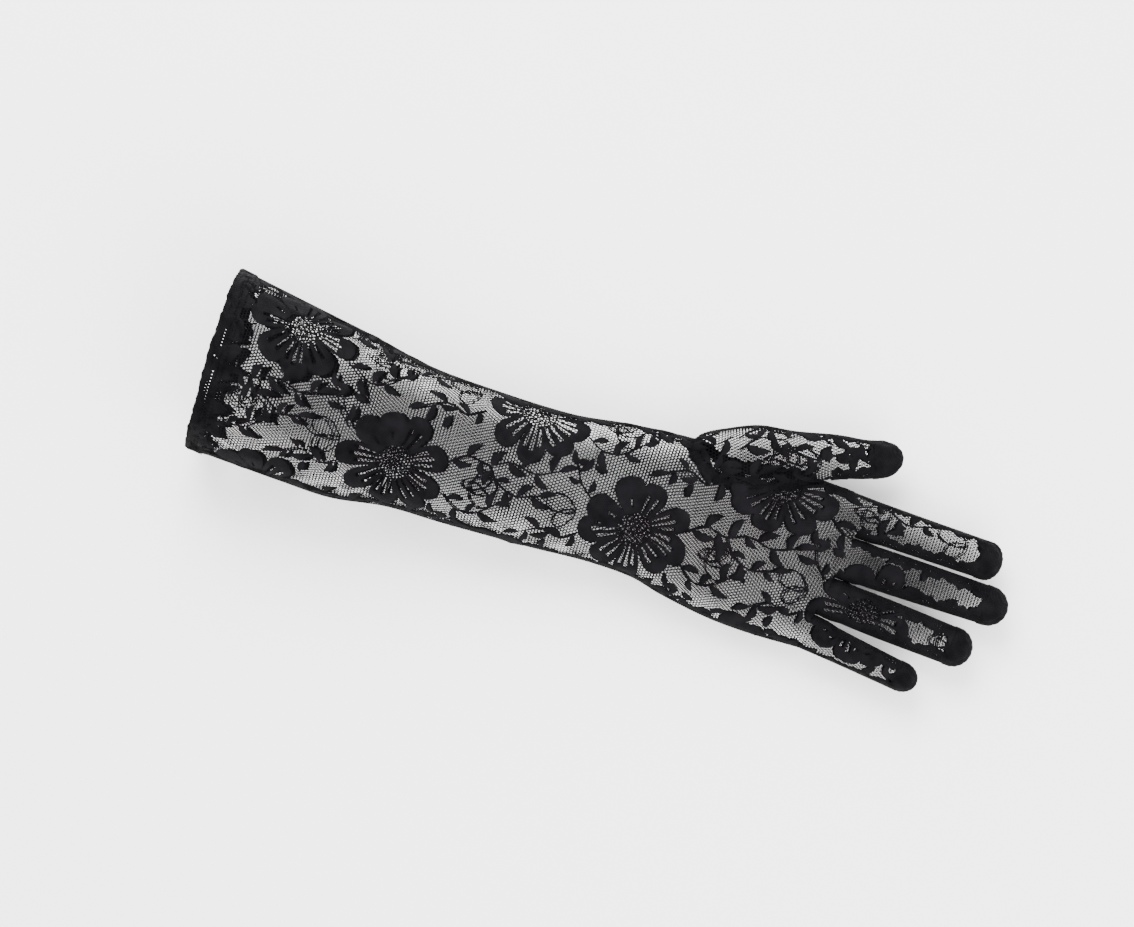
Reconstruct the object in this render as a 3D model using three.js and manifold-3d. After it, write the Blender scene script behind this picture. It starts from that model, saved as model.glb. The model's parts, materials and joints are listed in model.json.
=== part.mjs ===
// An opera-length glove in stretch lace, for the left hand, in the shape it takes when it is worn.
// X runs from the hem to the fingertips, Y towards the thumb and Z from the back of the hand to the palm.
import * as THREE from "three";
import { mergeVertices } from "three/addons/utils/BufferGeometryUtils.js";
import Module from "manifold-3d";

const wasm = await Module();
wasm.setup();

// Driving dimensions, in millimetres.
const CLEARANCE = 0.3; // between pieces that are sewn to each other
const JOINT_GAP = 0.4; // between the two sides of a bending line
const FABRIC = 1; // thickness of a lace panel
const SEAM_WIDTH = 4;
const SEAM_PROUD = 0.6; // how far an overlocked seam stands out of the panels
const FOURCHETTE_WIDTH = 9; // the strips that face each other between the fingers
const HEM_WIDTH = 8;
const HEM_PROUD = 0.5;
const THUMB_SEAM_WIDTH = 2.6;
const THUMB_SEAM_HEIGHT = 1.2;
const FLAT_DEPTH = 2; // how much of the round underside the table presses flat

const SLEEVE_LENGTH = 172; // hem to wrist
const PALM_LENGTH = 144.5; // wrist to the middle of the knuckle line
const CUFF = { breadth: 88, depth: 82, middle: 0 };
const WRIST = { breadth: 66, depth: 43, middle: -8.4 };
const KNUCKLES = { breadth: 77.5, depth: 26, middle: -10.7 };
const KNUCKLE_SLANT = 0.19; // the knuckle line leans towards the fingertips on the thumb side

// The arm and the hand between those three, by distance past the wrist.
const FOREARM = [
  { at: -122, breadth: 82, depth: 74, middle: -5.4 },
  { at: -99, breadth: 78.6, depth: 69, middle: -7.6 },
  { at: -72, breadth: 69.5, depth: 61, middle: -8.3 },
  { at: -44, breadth: 67.5, depth: 52, middle: -9 },
];
const HAND = [
  { at: 28, breadth: 68.2, depth: 39, middle: -5.8 },
  { at: 52, breadth: 71.3, depth: 36, middle: -5.2 },
  { at: 68, breadth: 75.5, depth: 34, middle: -6.8 },
  { at: 95, breadth: 79.8, depth: 31, middle: -8.9 },
  { at: 120, breadth: 80, depth: 28, middle: -10 },
];

// Each finger's share of the knuckle line, its length, the distance to its middle joint, how far it is
// splayed, its breadth at that joint and at the nail as a share of its root's, and the length of its tip.
const FINGER_GAP = 2 * (SEAM_PROUD + CLEARANCE);
const FINGERS = [
  { name: "index", share: 0.26, length: 69.5, bend: 27, splay: -1.8, taper: [0.97, 0.94], tip: 7 },
  { name: "middle", share: 0.27, length: 82.6, bend: 31, splay: -1.2, taper: [1.0, 0.92], tip: 9.5 },
  { name: "ring", share: 0.245, length: 76, bend: 28, splay: -4.3, taper: [1.08, 1.0], tip: 8.5 },
  { name: "little", share: 0.225, length: 59, bend: 22, splay: -8.5, taper: [0.9, 0.8], tip: 8 },
];
const FINGER_DEPTH = 22; // at the root
const FINGER_TIP_DEPTH = 14.5;
const FINGER_STEP_DOWN = 1; // from the palm to the face of the fingers
const FINGER_LIFT = 3; // how far the relaxed fingers rise towards their tips

// The thumb, by distance past its crotch along the hand and out from the side of the hand.
const CROTCH_TO_KNUCKLES = 17;
const THUMB_ROOT = 1.5; // where the thumb bends out of its ball
const THUMB_JOINT = 14;
const THUMB_TIP = 8.5;
const THUMB = [
  { at: -71.5, out: -9.8, breadth: 9, depth: 8, height: 20 },
  { at: -59.5, out: -5.8, breadth: 24, depth: 24, height: 19.5 },
  { at: -47.5, out: -2.8, breadth: 30, depth: 30, height: 19.5 },
  { at: -33.5, out: 1.7, breadth: 32, depth: 29, height: 19 },
  { at: -18.5, out: 6.7, breadth: 26, depth: 25, height: 18.5 },
  { at: 0, out: 13.4, breadth: 20.5, depth: 20, height: 18.5 },
  { at: THUMB_JOINT, out: 16.4, breadth: 18, depth: 17.5, height: 19.5 },
  { at: 22.5, out: 19.3, breadth: 17, depth: 15.5, height: 21 },
  { at: 31.5, out: 23.7, breadth: 16.5, depth: 14.5, height: 22 },
];

// How full a section is: 2 is an ellipse, and a higher number squares its corners.
const ARM_FULLNESS = 2.2;
const HAND_FULLNESS = 2.5;
const FINGER_FULLNESS = 2.3;

// How finely the skins are divided.
const ARM_STEP = 18;
const HAND_STEP = 12;
const FINGER_STEP = 9;
const THUMB_STEP = 7;
const ARM_COLUMNS = 12;
const FINGER_COLUMNS = 6;
const BAND_COLUMNS = 2;
const TIP_ROWS = 5;
const TIP_SWING = 9;

const LACE = { color: 0x17161a, roughness: 0.86, metalness: 0 };
const SEAM = { color: 0x0b0b0d, roughness: 0.78, metalness: 0 };

const UP = new THREE.Vector3(0, 0, 1);
const WRIST_X = SLEEVE_LENGTH;
const KNUCKLES_X = WRIST_X + PALM_LENGTH;
const CROTCH_X = KNUCKLES_X - CROTCH_TO_KNUCKLES;

// ---- Sections -------------------------------------------------------------------------------

// A smooth curve through the numbers that a list of stations gives for one of their names.
function follow(stations, name, at) {
  const last = stations.length - 1;
  let k = stations.findIndex((s) => s.at > at) - 1;
  if (k < 0) k = at <= stations[0].at ? 0 : last - 1;
  const slope = (i) => {
    const before = stations[Math.max(i - 1, 0)];
    const after = stations[Math.min(i + 1, last)];
    return (after[name] - before[name]) / (after.at - before.at);
  };
  const p = stations[k];
  const q = stations[k + 1];
  const span = q.at - p.at;
  const t = (at - p.at) / span;
  const blend = t * t * (3 - 2 * t);
  const lift = t * (1 - t) * ((1 - t) * slope(k) - t * slope(k + 1)) * span;
  return p[name] * (1 - blend) + q[name] * blend + lift;
}

// Half sizes of a section that lies on the table, and the height of its middle.
function lying(depth) {
  const b = (depth + FLAT_DEPTH) / 2;
  return { b, height: depth - b };
}

const armStations = [
  { at: -SLEEVE_LENGTH, ...CUFF },
  ...FOREARM,
  { at: 0, ...WRIST },
  ...HAND,
  { at: PALM_LENGTH, ...KNUCKLES },
];

// The section of the arm or hand at a distance past the wrist.
function armSection(at) {
  const { b, height } = lying(follow(armStations, "depth", at));
  const middle = follow(armStations, "middle", at);
  const past = Math.max(at, 0) / PALM_LENGTH;
  const full = THREE.MathUtils.clamp(1 + at / SLEEVE_LENGTH, 0, 1);
  return {
    centre: new THREE.Vector3(WRIST_X + at, middle, height),
    side: new THREE.Vector3(KNUCKLE_SLANT * past * past, 1, 0),
    forward: new THREE.Vector3(1, 0, 0),
    a: follow(armStations, "breadth", at) / 2,
    b,
    fullness: THREE.MathUtils.lerp(ARM_FULLNESS, HAND_FULLNESS, full),
    lean: 0,
  };
}

const thumbStations = THUMB.map((s) => ({ ...s, x: CROTCH_X + s.at }));
const crotchSide = armSection(CROTCH_X - WRIST_X);
const sideEdge = crotchSide.centre.y + crotchSide.a;

// A point on the middle line of the thumb.
function thumbMiddle(at) {
  const out = follow(thumbStations, "out", at);
  return new THREE.Vector3(CROTCH_X + at, sideEdge + out, follow(thumbStations, "height", at));
}

const thumb = {
  name: "thumb",
  start: THUMB_ROOT,
  bend: THUMB_JOINT,
  end: thumbStations.at(-1).at,
  tip: THUMB_TIP,
  step: THUMB_STEP,
  middle: thumbMiddle,
  breadth: (at) => follow(thumbStations, "breadth", at),
  depth: (at) => follow(thumbStations, "depth", at),
  rootLean: 0,
};

// The four fingers stand side by side along the knuckle line.
function makeFingers() {
  const room = KNUCKLES.breadth - FINGER_GAP * (FINGERS.length - 1);
  let edge = KNUCKLES.middle + KNUCKLES.breadth / 2;
  return FINGERS.map((finger) => {
    const width = room * finger.share;
    const y = edge - width / 2;
    edge -= width + FINGER_GAP;
    const splay = THREE.MathUtils.degToRad(finger.splay);
    const along = new THREE.Vector3(Math.cos(splay), Math.sin(splay), 0);
    const x = KNUCKLES_X + KNUCKLE_SLANT * (y - KNUCKLES.middle);
    const height = KNUCKLES.depth - FINGER_STEP_DOWN - FINGER_DEPTH / 2;
    const root = new THREE.Vector3(x, y, height);
    const sizes = [
      { at: 0, breadth: width, depth: FINGER_DEPTH },
      { at: finger.bend, breadth: width * finger.taper[0], depth: (FINGER_DEPTH + FINGER_TIP_DEPTH) / 2 },
      { at: finger.length, breadth: width * finger.taper[1], depth: FINGER_TIP_DEPTH },
    ];
    return {
      name: finger.name,
      start: 0,
      bend: finger.bend,
      end: finger.length,
      tip: finger.tip,
      step: FINGER_STEP,
      middle: (at) =>
        root
          .clone()
          .addScaledVector(along, at)
          .addScaledVector(UP, FINGER_LIFT * (at / finger.length) ** 2),
      breadth: (at) => follow(sizes, "breadth", at),
      depth: (at) => follow(sizes, "depth", at),
      rootLean: Math.tan(Math.atan(KNUCKLE_SLANT) + splay),
    };
  });
}

// The section of a finger or thumb. In the round tip, turn is how far round it is, from 0 to a right angle.
function tubeSection(limb, at, turn = 0) {
  const round = limb.end - limb.tip;
  const place = turn ? round + limb.tip * Math.sin(turn) : at;
  const centre = limb.middle(place);
  const forward = limb.middle(place + 0.5).sub(limb.middle(place - 0.5)).setZ(0).normalize();
  const side = new THREE.Vector3().crossVectors(UP, forward);
  const share = 1 - THREE.MathUtils.smoothstep(place, limb.start, limb.bend);
  side.addScaledVector(forward, limb.rootLean * share);
  const size = Math.min(place, round);
  return {
    centre,
    side,
    forward,
    a: limb.breadth(size) / 2,
    b: limb.depth(size) / 2,
    fullness: FINGER_FULLNESS,
    lean: turn,
  };
}

// The point of a section at an angle from its thumb side, over the palm side, some way under its surface.
function pointOn(section, angle, inset) {
  const { centre, side, forward, a, b, fullness, lean } = section;
  const c = Math.cos(angle);
  const s = Math.sin(angle);
  const across = Math.sign(c) * Math.abs(c) ** (2 / fullness) * (a - inset) * Math.cos(lean);
  const high = Math.sign(s) * Math.abs(s) ** (2 / fullness) * (b - inset) * Math.cos(lean);
  const point = centre.clone().addScaledVector(side, across).addScaledVector(UP, high);
  point.addScaledVector(forward, -inset * Math.sin(lean));
  point.z = Math.max(point.z, Math.max(inset, 0));
  return point;
}

// The angle at which a section's surface is some height above its middle.
function angleAt(section, height) {
  const share = Math.min(Math.abs(height) / (section.b * Math.cos(section.lean)), 1);
  return Math.sign(height) * Math.asin(share ** (section.fullness / 2));
}

// ---- Closed skins ---------------------------------------------------------------------------

// A closed solid between two grids of points that lie over each other. A ring's columns join up.
function skin(outer, inner, ring = false) {
  const columns = outer[0].length;
  const count = outer.length * columns;
  const points = [...outer.flat(), ...inner.flat()].flatMap((p) => p.toArray());
  const at = (layer, i, j) => layer * count + i * columns + (j % columns);
  const faces = [];
  const quad = (a, b, c, d) => faces.push(a, b, c, a, c, d);
  const lastRow = outer.length - 1;
  const lastColumn = ring ? columns : columns - 1;
  for (let i = 0; i < lastRow; i++) {
    for (let j = 0; j < lastColumn; j++) {
      quad(at(0, i, j), at(0, i, j + 1), at(0, i + 1, j + 1), at(0, i + 1, j));
      quad(at(1, i, j), at(1, i + 1, j), at(1, i + 1, j + 1), at(1, i, j + 1));
    }
    if (ring) continue;
    quad(at(0, i, 0), at(0, i + 1, 0), at(1, i + 1, 0), at(1, i, 0));
    quad(at(0, i, lastColumn), at(1, i, lastColumn), at(1, i + 1, lastColumn), at(0, i + 1, lastColumn));
  }
  for (let j = 0; j < lastColumn; j++) {
    quad(at(0, 0, j), at(1, 0, j), at(1, 0, j + 1), at(0, 0, j + 1));
    quad(at(0, lastRow, j), at(0, lastRow, j + 1), at(1, lastRow, j + 1), at(1, lastRow, j));
  }
  const geometry = new THREE.BufferGeometry();
  geometry.setAttribute("position", new THREE.Float32BufferAttribute(points, 3));
  geometry.setIndex(faces);
  return geometry;
}

// A panel over some sections, between two angles that each section gives.
function panel(sections, from, to, columns, outset = 0, thickness = FABRIC) {
  const grid = (inset) =>
    sections.map((section) => {
      const first = from(section);
      const span = to(section) - first;
      return Array.from({ length: columns + 1 }, (_, j) =>
        pointOn(section, first + (span * j) / columns, inset),
      );
    });
  return skin(grid(-outset), grid(thickness - outset));
}

// The palm side and the back of a tube, each stopping short of the bands at its two sides. A band's width
// is a function of the section.
function palmSide(sections, thumbBand, otherBand, columns) {
  const from = (s) => angleAt(s, thumbBand(s) / 2 + CLEARANCE);
  const to = (s) => Math.PI - angleAt(s, otherBand(s) / 2 + CLEARANCE);
  return panel(sections, from, to, columns);
}
function backSide(sections, thumbBand, otherBand, columns) {
  const from = (s) => Math.PI + angleAt(s, otherBand(s) / 2 + CLEARANCE);
  const to = (s) => 2 * Math.PI - angleAt(s, thumbBand(s) / 2 + CLEARANCE);
  return panel(sections, from, to, columns);
}

// A seam or strip along one side of a tube: at angle 0 on the thumb side, or a half turn on the other.
function sideBand(sections, middle, width) {
  const from = (s) => middle - angleAt(s, width(s) / 2);
  const to = (s) => middle + angleAt(s, width(s) / 2);
  return panel(sections, from, to, BAND_COLUMNS, SEAM_PROUD, FABRIC + 2 * SEAM_PROUD);
}

// The band that runs up one side of a finger, round its tip and down the other side.
function tipBand(limb, sections, thumbBand, otherBand) {
  const round = tubeSection(limb, limb.end - limb.tip);
  const turnAt = (swing, height) =>
    Math.asin(Math.sin(Math.acos(Math.abs(height) / round.b)) * Math.sin(swing));
  const place = (swing, height, inset) => {
    const section = tubeSection(limb, 0, Math.max(turnAt(swing, height), 1e-6));
    const angle = angleAt(section, height);
    return pointOn(section, Math.cos(swing) < 0 ? Math.PI - angle : angle, inset);
  };
  const widthAt = (swing, band) => {
    let width = band(round);
    for (let k = 0; k < 6; k++) width = band({ lean: turnAt(swing, width / 2) });
    return width;
  };
  const heights = (width) =>
    Array.from({ length: BAND_COLUMNS + 1 }, (_, j) => width * (j / BAND_COLUMNS - 0.5));
  const grid = (inset) => {
    const up = sections.map((s) => heights(thumbBand(s)).map((h) => pointOn(s, angleAt(s, h), inset)));
    const down = sections
      .map((s) => heights(otherBand(s)).map((h) => pointOn(s, Math.PI - angleAt(s, h), inset)))
      .reverse();
    const over = Array.from({ length: TIP_SWING }, (_, k) => {
      const swing = (Math.PI * (k + 1)) / (TIP_SWING + 1);
      const band = swing < Math.PI / 2 ? thumbBand : otherBand;
      return heights(widthAt(swing, band)).map((h) => place(swing, h, inset));
    });
    return [...up, ...over, ...down];
  };
  return skin(grid(-SEAM_PROUD), grid(FABRIC + SEAM_PROUD));
}

// Evenly spaced distances from one end to the other.
function steps(from, to, step) {
  const count = Math.max(1, Math.round((to - from) / step));
  return Array.from({ length: count + 1 }, (_, i) => from + ((to - from) * i) / count);
}

// ---- Cutting one tube by another -------------------------------------------------------------

function solidOf(geometry) {
  const merged = mergeVertices(geometry, 1e-4);
  return new wasm.Manifold(
    new wasm.Mesh({
      numProp: 3,
      vertProperties: merged.attributes.position.array,
      triVerts: new Uint32Array(merged.index.array),
    }),
  );
}

function geometryOf(solid) {
  const mesh = solid.getMesh();
  const geometry = new THREE.BufferGeometry();
  geometry.setAttribute("position", new THREE.Float32BufferAttribute(mesh.vertProperties, 3));
  geometry.setIndex(new THREE.Uint32BufferAttribute(mesh.triVerts, 1));
  return geometry;
}

// The full body of a tube, grown by some margin, with flat ends.
function bodyOf(sections, margin, columns) {
  const rows = sections.map((s) =>
    Array.from({ length: columns }, (_, j) => pointOn(s, (2 * Math.PI * j) / columns, -margin)),
  );
  for (const row of rows) {
    for (const point of row) {
      if (point.z <= 0) point.z = -margin;
    }
  }
  const points = rows.flat().flatMap((p) => p.toArray());
  const faces = [];
  const last = rows.length - 1;
  for (let i = 0; i < last; i++) {
    for (let j = 0; j < columns; j++) {
      const next = (j + 1) % columns;
      const [a, b, c, d] = [i * columns + j, i * columns + next, (i + 1) * columns + next, (i + 1) * columns + j];
      faces.push(a, b, c, a, c, d);
    }
  }
  for (let j = 1; j < columns - 1; j++) {
    faces.push(0, j + 1, j);
    faces.push(last * columns, last * columns + j, last * columns + j + 1);
  }
  const geometry = new THREE.BufferGeometry();
  geometry.setAttribute("position", new THREE.Float32BufferAttribute(points, 3));
  geometry.setIndex(faces);
  return solidOf(geometry);
}

// ---- The glove ------------------------------------------------------------------------------

const glove = new THREE.Group();

function add(name, geometry, look) {
  const mesh = new THREE.Mesh(geometry, new THREE.MeshStandardMaterial(look));
  mesh.name = name;
  glove.add(mesh);
}

const seam = () => SEAM_WIDTH;
const fourchette = () => FOURCHETTE_WIDTH;

function addSleeve() {
  const hem = steps(-SLEEVE_LENGTH, -SLEEVE_LENGTH + HEM_WIDTH, HEM_WIDTH / 2).map(armSection);
  const around = 2 * ARM_COLUMNS;
  const ring = (inset) =>
    hem.map((s) => Array.from({ length: around }, (_, j) => pointOn(s, (2 * Math.PI * j) / around, inset)));
  add("cuff_hem", skin(ring(-HEM_PROUD), ring(FABRIC + HEM_PROUD), true), SEAM);

  const from = -SLEEVE_LENGTH + HEM_WIDTH + CLEARANCE;
  const sections = steps(from, -JOINT_GAP / 2, ARM_STEP).map(armSection);
  add("sleeve_front_panel", palmSide(sections, seam, seam, ARM_COLUMNS), LACE);
  add("sleeve_back_panel", backSide(sections, seam, seam, ARM_COLUMNS), LACE);
  add("sleeve_thumb_side_seam", sideBand(sections, 0, seam), SEAM);
  add("sleeve_little_side_seam", sideBand(sections, Math.PI, seam), SEAM);
}

// The hand and the ball of the thumb meet round the thumb hole, where each is cut back to clear the other.
function addHand() {
  const half = JOINT_GAP / 2;
  const hand = steps(half, PALM_LENGTH - half, HAND_STEP).map(armSection);
  const ball = steps(thumbStations[0].at, THUMB_ROOT - half, THUMB_STEP).map((at) => tubeSection(thumb, at));
  const around = 3 * ARM_COLUMNS;
  const over = SEAM_PROUD + CLEARANCE;
  const handBody = bodyOf(hand, over, around);
  const thumbHole = bodyOf(ball, over, around);
  const cutHand = (geometry) => geometryOf(solidOf(geometry).subtract(thumbHole));
  const cutThumb = (geometry) => geometryOf(solidOf(geometry).subtract(handBody));

  add("palm_panel", cutHand(palmSide(hand, seam, seam, ARM_COLUMNS)), LACE);
  add("hand_back_panel", cutHand(backSide(hand, seam, seam, ARM_COLUMNS)), LACE);
  add("hand_little_side_seam", sideBand(hand, Math.PI, seam), SEAM);
  const lengths = solidOf(sideBand(hand, 0, seam)).subtract(thumbHole).decompose();
  lengths.sort((p, q) => p.boundingBox().min[0] - q.boundingBox().min[0]);
  add("hand_wrist_side_seam", geometryOf(lengths[0]), SEAM);
  add("hand_index_side_seam", geometryOf(lengths.at(-1)), SEAM);

  const collar = bodyOf(hand, over + THUMB_SEAM_HEIGHT, around)
    .subtract(handBody)
    .intersect(bodyOf(ball, over + THUMB_SEAM_WIDTH, around))
    .subtract(thumbHole);
  add("thumb_hole_seam", geometryOf(collar), SEAM);

  add("thumb_ball_front", cutThumb(palmSide(ball, seam, seam, 2 * FINGER_COLUMNS)), LACE);
  add("thumb_ball_back", cutThumb(backSide(ball, seam, seam, 2 * FINGER_COLUMNS)), LACE);
  add("thumb_ball_seam", cutThumb(sideBand(ball, 0, seam)), SEAM);
}

// The far half of a finger or thumb, closed round its tip, where both bands are as wide as the wider one.
function addTip(limb, thumbBand, otherBand) {
  const widest = Math.max(thumbBand(), otherBand());
  const towards = (band) => (s) => THREE.MathUtils.lerp(band(), widest, Math.sin(s.lean));
  const straight = steps(limb.bend + JOINT_GAP / 2, limb.end - limb.tip, limb.step).map((at) =>
    tubeSection(limb, at),
  );
  const most = Math.acos(Math.min((widest / 2 + CLEARANCE) / (0.96 * straight.at(-1).b), 1));
  const round = Array.from({ length: TIP_ROWS }, (_, k) => tubeSection(limb, 0, (most * (k + 1)) / TIP_ROWS));
  const sections = [...straight, ...round];
  const bands = [towards(thumbBand), towards(otherBand)];
  add(limb.name + "_tip_front", palmSide(sections, ...bands, FINGER_COLUMNS), LACE);
  add(limb.name + "_tip_back", backSide(sections, ...bands, FINGER_COLUMNS), LACE);
  add(limb.name + "_tip_seam", tipBand(limb, straight, ...bands), SEAM);
}

// A finger or thumb from its root to its tip.
function addFinger(limb, thumbBand, otherBand) {
  const half = JOINT_GAP / 2;
  const base = steps(limb.start + half, limb.bend - half, limb.step).map((at) => tubeSection(limb, at));
  add(limb.name + "_base_front", palmSide(base, thumbBand, otherBand, FINGER_COLUMNS), LACE);
  add(limb.name + "_base_back", backSide(base, thumbBand, otherBand, FINGER_COLUMNS), LACE);
  add(limb.name + "_base_outer_strip", sideBand(base, 0, thumbBand), SEAM);
  add(limb.name + "_base_inner_strip", sideBand(base, Math.PI, otherBand), SEAM);
  addTip(limb, thumbBand, otherBand);
}

addSleeve();
addHand();
addFinger(thumb, seam, seam);
makeFingers().forEach((finger, i, all) => {
  addFinger(finger, i === 0 ? seam : fourchette, i === all.length - 1 ? seam : fourchette);
});

// The origin is under the middle of the glove, on the table.
const box = new THREE.Box3().setFromObject(glove);
const middle = box.getCenter(new THREE.Vector3());
glove.position.set(-middle.x, -middle.y, -box.min.z);

export default glove;
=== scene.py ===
import json
import math

import bpy
import numpy as np
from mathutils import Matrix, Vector


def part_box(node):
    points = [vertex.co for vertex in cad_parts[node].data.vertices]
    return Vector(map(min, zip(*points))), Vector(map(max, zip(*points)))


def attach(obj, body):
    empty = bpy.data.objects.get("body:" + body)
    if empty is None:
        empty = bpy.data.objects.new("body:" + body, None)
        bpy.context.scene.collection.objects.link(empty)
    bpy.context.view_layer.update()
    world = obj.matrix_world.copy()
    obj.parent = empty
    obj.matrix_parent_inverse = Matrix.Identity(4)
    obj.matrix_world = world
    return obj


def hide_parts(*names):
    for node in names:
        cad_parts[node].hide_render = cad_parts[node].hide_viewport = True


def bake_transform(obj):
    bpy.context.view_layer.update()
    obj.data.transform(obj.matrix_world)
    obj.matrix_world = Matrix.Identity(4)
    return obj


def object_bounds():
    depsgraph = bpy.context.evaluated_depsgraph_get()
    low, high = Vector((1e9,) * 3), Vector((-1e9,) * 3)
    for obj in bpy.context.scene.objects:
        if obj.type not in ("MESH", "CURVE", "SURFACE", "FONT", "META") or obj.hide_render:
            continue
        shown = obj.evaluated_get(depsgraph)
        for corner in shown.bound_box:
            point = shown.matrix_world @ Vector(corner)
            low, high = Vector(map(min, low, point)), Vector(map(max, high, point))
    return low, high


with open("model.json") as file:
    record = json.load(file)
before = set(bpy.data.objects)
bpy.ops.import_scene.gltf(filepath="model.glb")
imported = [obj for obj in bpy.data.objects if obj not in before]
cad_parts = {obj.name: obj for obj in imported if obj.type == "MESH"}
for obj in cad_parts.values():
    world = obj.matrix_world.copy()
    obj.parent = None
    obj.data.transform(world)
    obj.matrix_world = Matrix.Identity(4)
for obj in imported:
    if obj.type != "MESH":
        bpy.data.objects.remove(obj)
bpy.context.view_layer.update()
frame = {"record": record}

rng = np.random.default_rng(7)
MM = 0.001

# ---- Sizes in millimetres, the same as the CAD part's ----
SLEEVE, PALM = 172.0, 144.5
KNUCKLES_X = SLEEVE + PALM
CROTCH_X = KNUCKLES_X - 17
SLANT = 0.19
ARM = np.array([  # at past the wrist, breadth, depth, middle
    (-172, 88, 82, 0), (-122, 82, 74, -5.4), (-99, 78.6, 69, -7.6), (-72, 69.5, 61, -8.3),
    (-44, 67.5, 52, -9), (0, 66, 43, -8.4), (28, 68.2, 39, -5.8), (52, 71.3, 36, -5.2),
    (68, 75.5, 34, -6.8), (95, 79.8, 31, -8.9), (120, 80, 28, -10), (144.5, 77.5, 26, -10.7)], float)
THUMB = np.array([  # at past the crotch, out, breadth, depth, height
    (-71.5, -9.8, 9, 8, 20), (-59.5, -5.8, 24, 24, 19.5), (-47.5, -2.8, 30, 30, 19.5),
    (-33.5, 1.7, 32, 29, 19), (-18.5, 6.7, 26, 25, 18.5), (0, 13.4, 20.5, 20, 18.5),
    (14, 16.4, 18, 17.5, 19.5), (22.5, 19.3, 17, 15.5, 21), (31.5, 23.7, 16.5, 14.5, 22)], float)
FINGERS = [  # name, share, length, bend, splay, tapers, tip
    ("index", 0.26, 69.5, 27, -1.8, 0.97, 0.94, 7), ("middle", 0.27, 82.6, 31, -1.2, 1.0, 0.92, 9.5),
    ("ring", 0.245, 76, 28, -4.3, 1.08, 1.0, 8.5), ("little", 0.225, 59, 22, -8.5, 0.9, 0.8, 8)]
FINGER_GAP, LIFT = 1.8, 3.0  # between two fingers, and how far a fingertip stands over its root
FINGER_DEPTH, BEND_DEPTH, TIP_DEPTH = 22.0, 18.25, 14.5  # at the root, the bend and the tip
ROOT_HEIGHT = ARM[-1, 2] - 1 - FINGER_DEPTH / 2
THUMB_ROOT, THUMB_BEND, THUMB_END, THUMB_TIP = 1.5, 14.0, 30.8, 10.5  # from the crotch
THUMB_HINGE = 7.5  # where its root part ends and its tip part starts
FINGER_HINGE = 14.0  # the same for a finger, from its knuckle
THUMB_OVERLAP = 2.0  # how far before the crotch the thumb's root part starts
WEB = 4.4  # half the height of a fourchette
SEAM = 2.6  # half the width of a side seam
WRAP = {WEB: 8.6, SEAM: 4.8}  # how far each reaches round onto the palm side of a finger
HEM = 8.0  # how deep the hem is
ROUND = 2.3  # the fullness of a finger's section: 2 is an ellipse
MORPH = 17.0  # how far before the knuckles the palm starts to part into fingers

# Here the hem starts at x = 0 and the arm runs along x. SHIFT moves the glove to its place in the frame.
WRIST_MIDDLE = -8.4
wrist = [j for j in frame["record"]["behaviour"]["joints"] if j["name"] == "wrist_bend"][0]
SHIFT = np.array([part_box("cuff_hem")[0].x / MM, wrist["pos_m"][1] / MM - WRIST_MIDDLE, 0.0])


def follow(stations, column, at):
    """A smooth curve through one column of the stations."""
    x, y = stations[:, 0], stations[:, column]
    slope = np.gradient(y, x)
    slope[1:-1] = (y[2:] - y[:-2]) / (x[2:] - x[:-2])
    slope[0], slope[-1] = (y[1] - y[0]) / (x[1] - x[0]), (y[-1] - y[-2]) / (x[-1] - x[-2])
    at = np.asarray(at, float)
    k = np.clip(np.searchsorted(x, at, side="right") - 1, 0, len(x) - 2)
    span = x[k + 1] - x[k]
    t = (at - x[k]) / span
    ease = t * t * (3 - 2 * t)
    lift = t * (1 - t) * ((1 - t) * slope[k] - t * slope[k + 1]) * span
    return y[k] * (1 - ease) + y[k + 1] * ease + lift


def smooth(x, low, high):
    """0 below low, 1 above high, and a smooth step between them."""
    t = np.clip((x - low) / (high - low), 0, 1)
    return t * t * (3 - 2 * t)


def full(value, power):
    """A power that keeps the sign."""
    return np.sign(value) * np.abs(value) ** power


def unit(vectors):
    return vectors / np.maximum(np.linalg.norm(vectors, axis=-1, keepdims=True), 1e-9)


def normals(rows):
    """The unit normals of a grid of points."""
    return unit(np.cross(np.gradient(rows, axis=0), np.gradient(rows, axis=1)))


def grid_quads(rows, columns):
    """The quads of a grid of points, (rows - 1, columns - 1, 4)."""
    i, j = np.meshgrid(np.arange(rows - 1), np.arange(columns - 1), indexing="ij")
    first = i * columns + j
    return np.stack([first, first + columns, first + columns + 1, first + 1], -1)


def placed(at, turn, x, y):
    """Flat points x, y turned and moved."""
    c, s = math.cos(turn), math.sin(turn)
    return np.stack([at[0] + x * c - y * s, at[1] + x * s + y * c], -1)


# ---- Rings: the points round a section, at some angles from the thumb side over the palm ----
KNUCKLES = ARM[-1]
room = KNUCKLES[1] - 3 * FINGER_GAP
edge = KNUCKLES[3] + KNUCKLES[1] / 2
ROOTS = []  # each finger's middle and half width on the knuckle line
for finger in FINGERS:
    width = room * finger[1]
    ROOTS.append((edge - width / 2, width / 2))
    edge -= width + FINGER_GAP


def arm_parts(at):
    """Half breadth, half depth, height, middle, slant and fullness of the section, at past the wrist."""
    at = np.asarray(at, float)
    depth = follow(ARM, 2, at)
    b = (depth + 2) / 2
    past = np.maximum(at, 0) / PALM
    fullness = 2.2 + 0.3 * np.clip(1 + at / SLEEVE, 0, 1)
    return follow(ARM, 1, at) / 2, b, depth - b, follow(ARM, 3, at), SLANT * past**2, fullness


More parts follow.
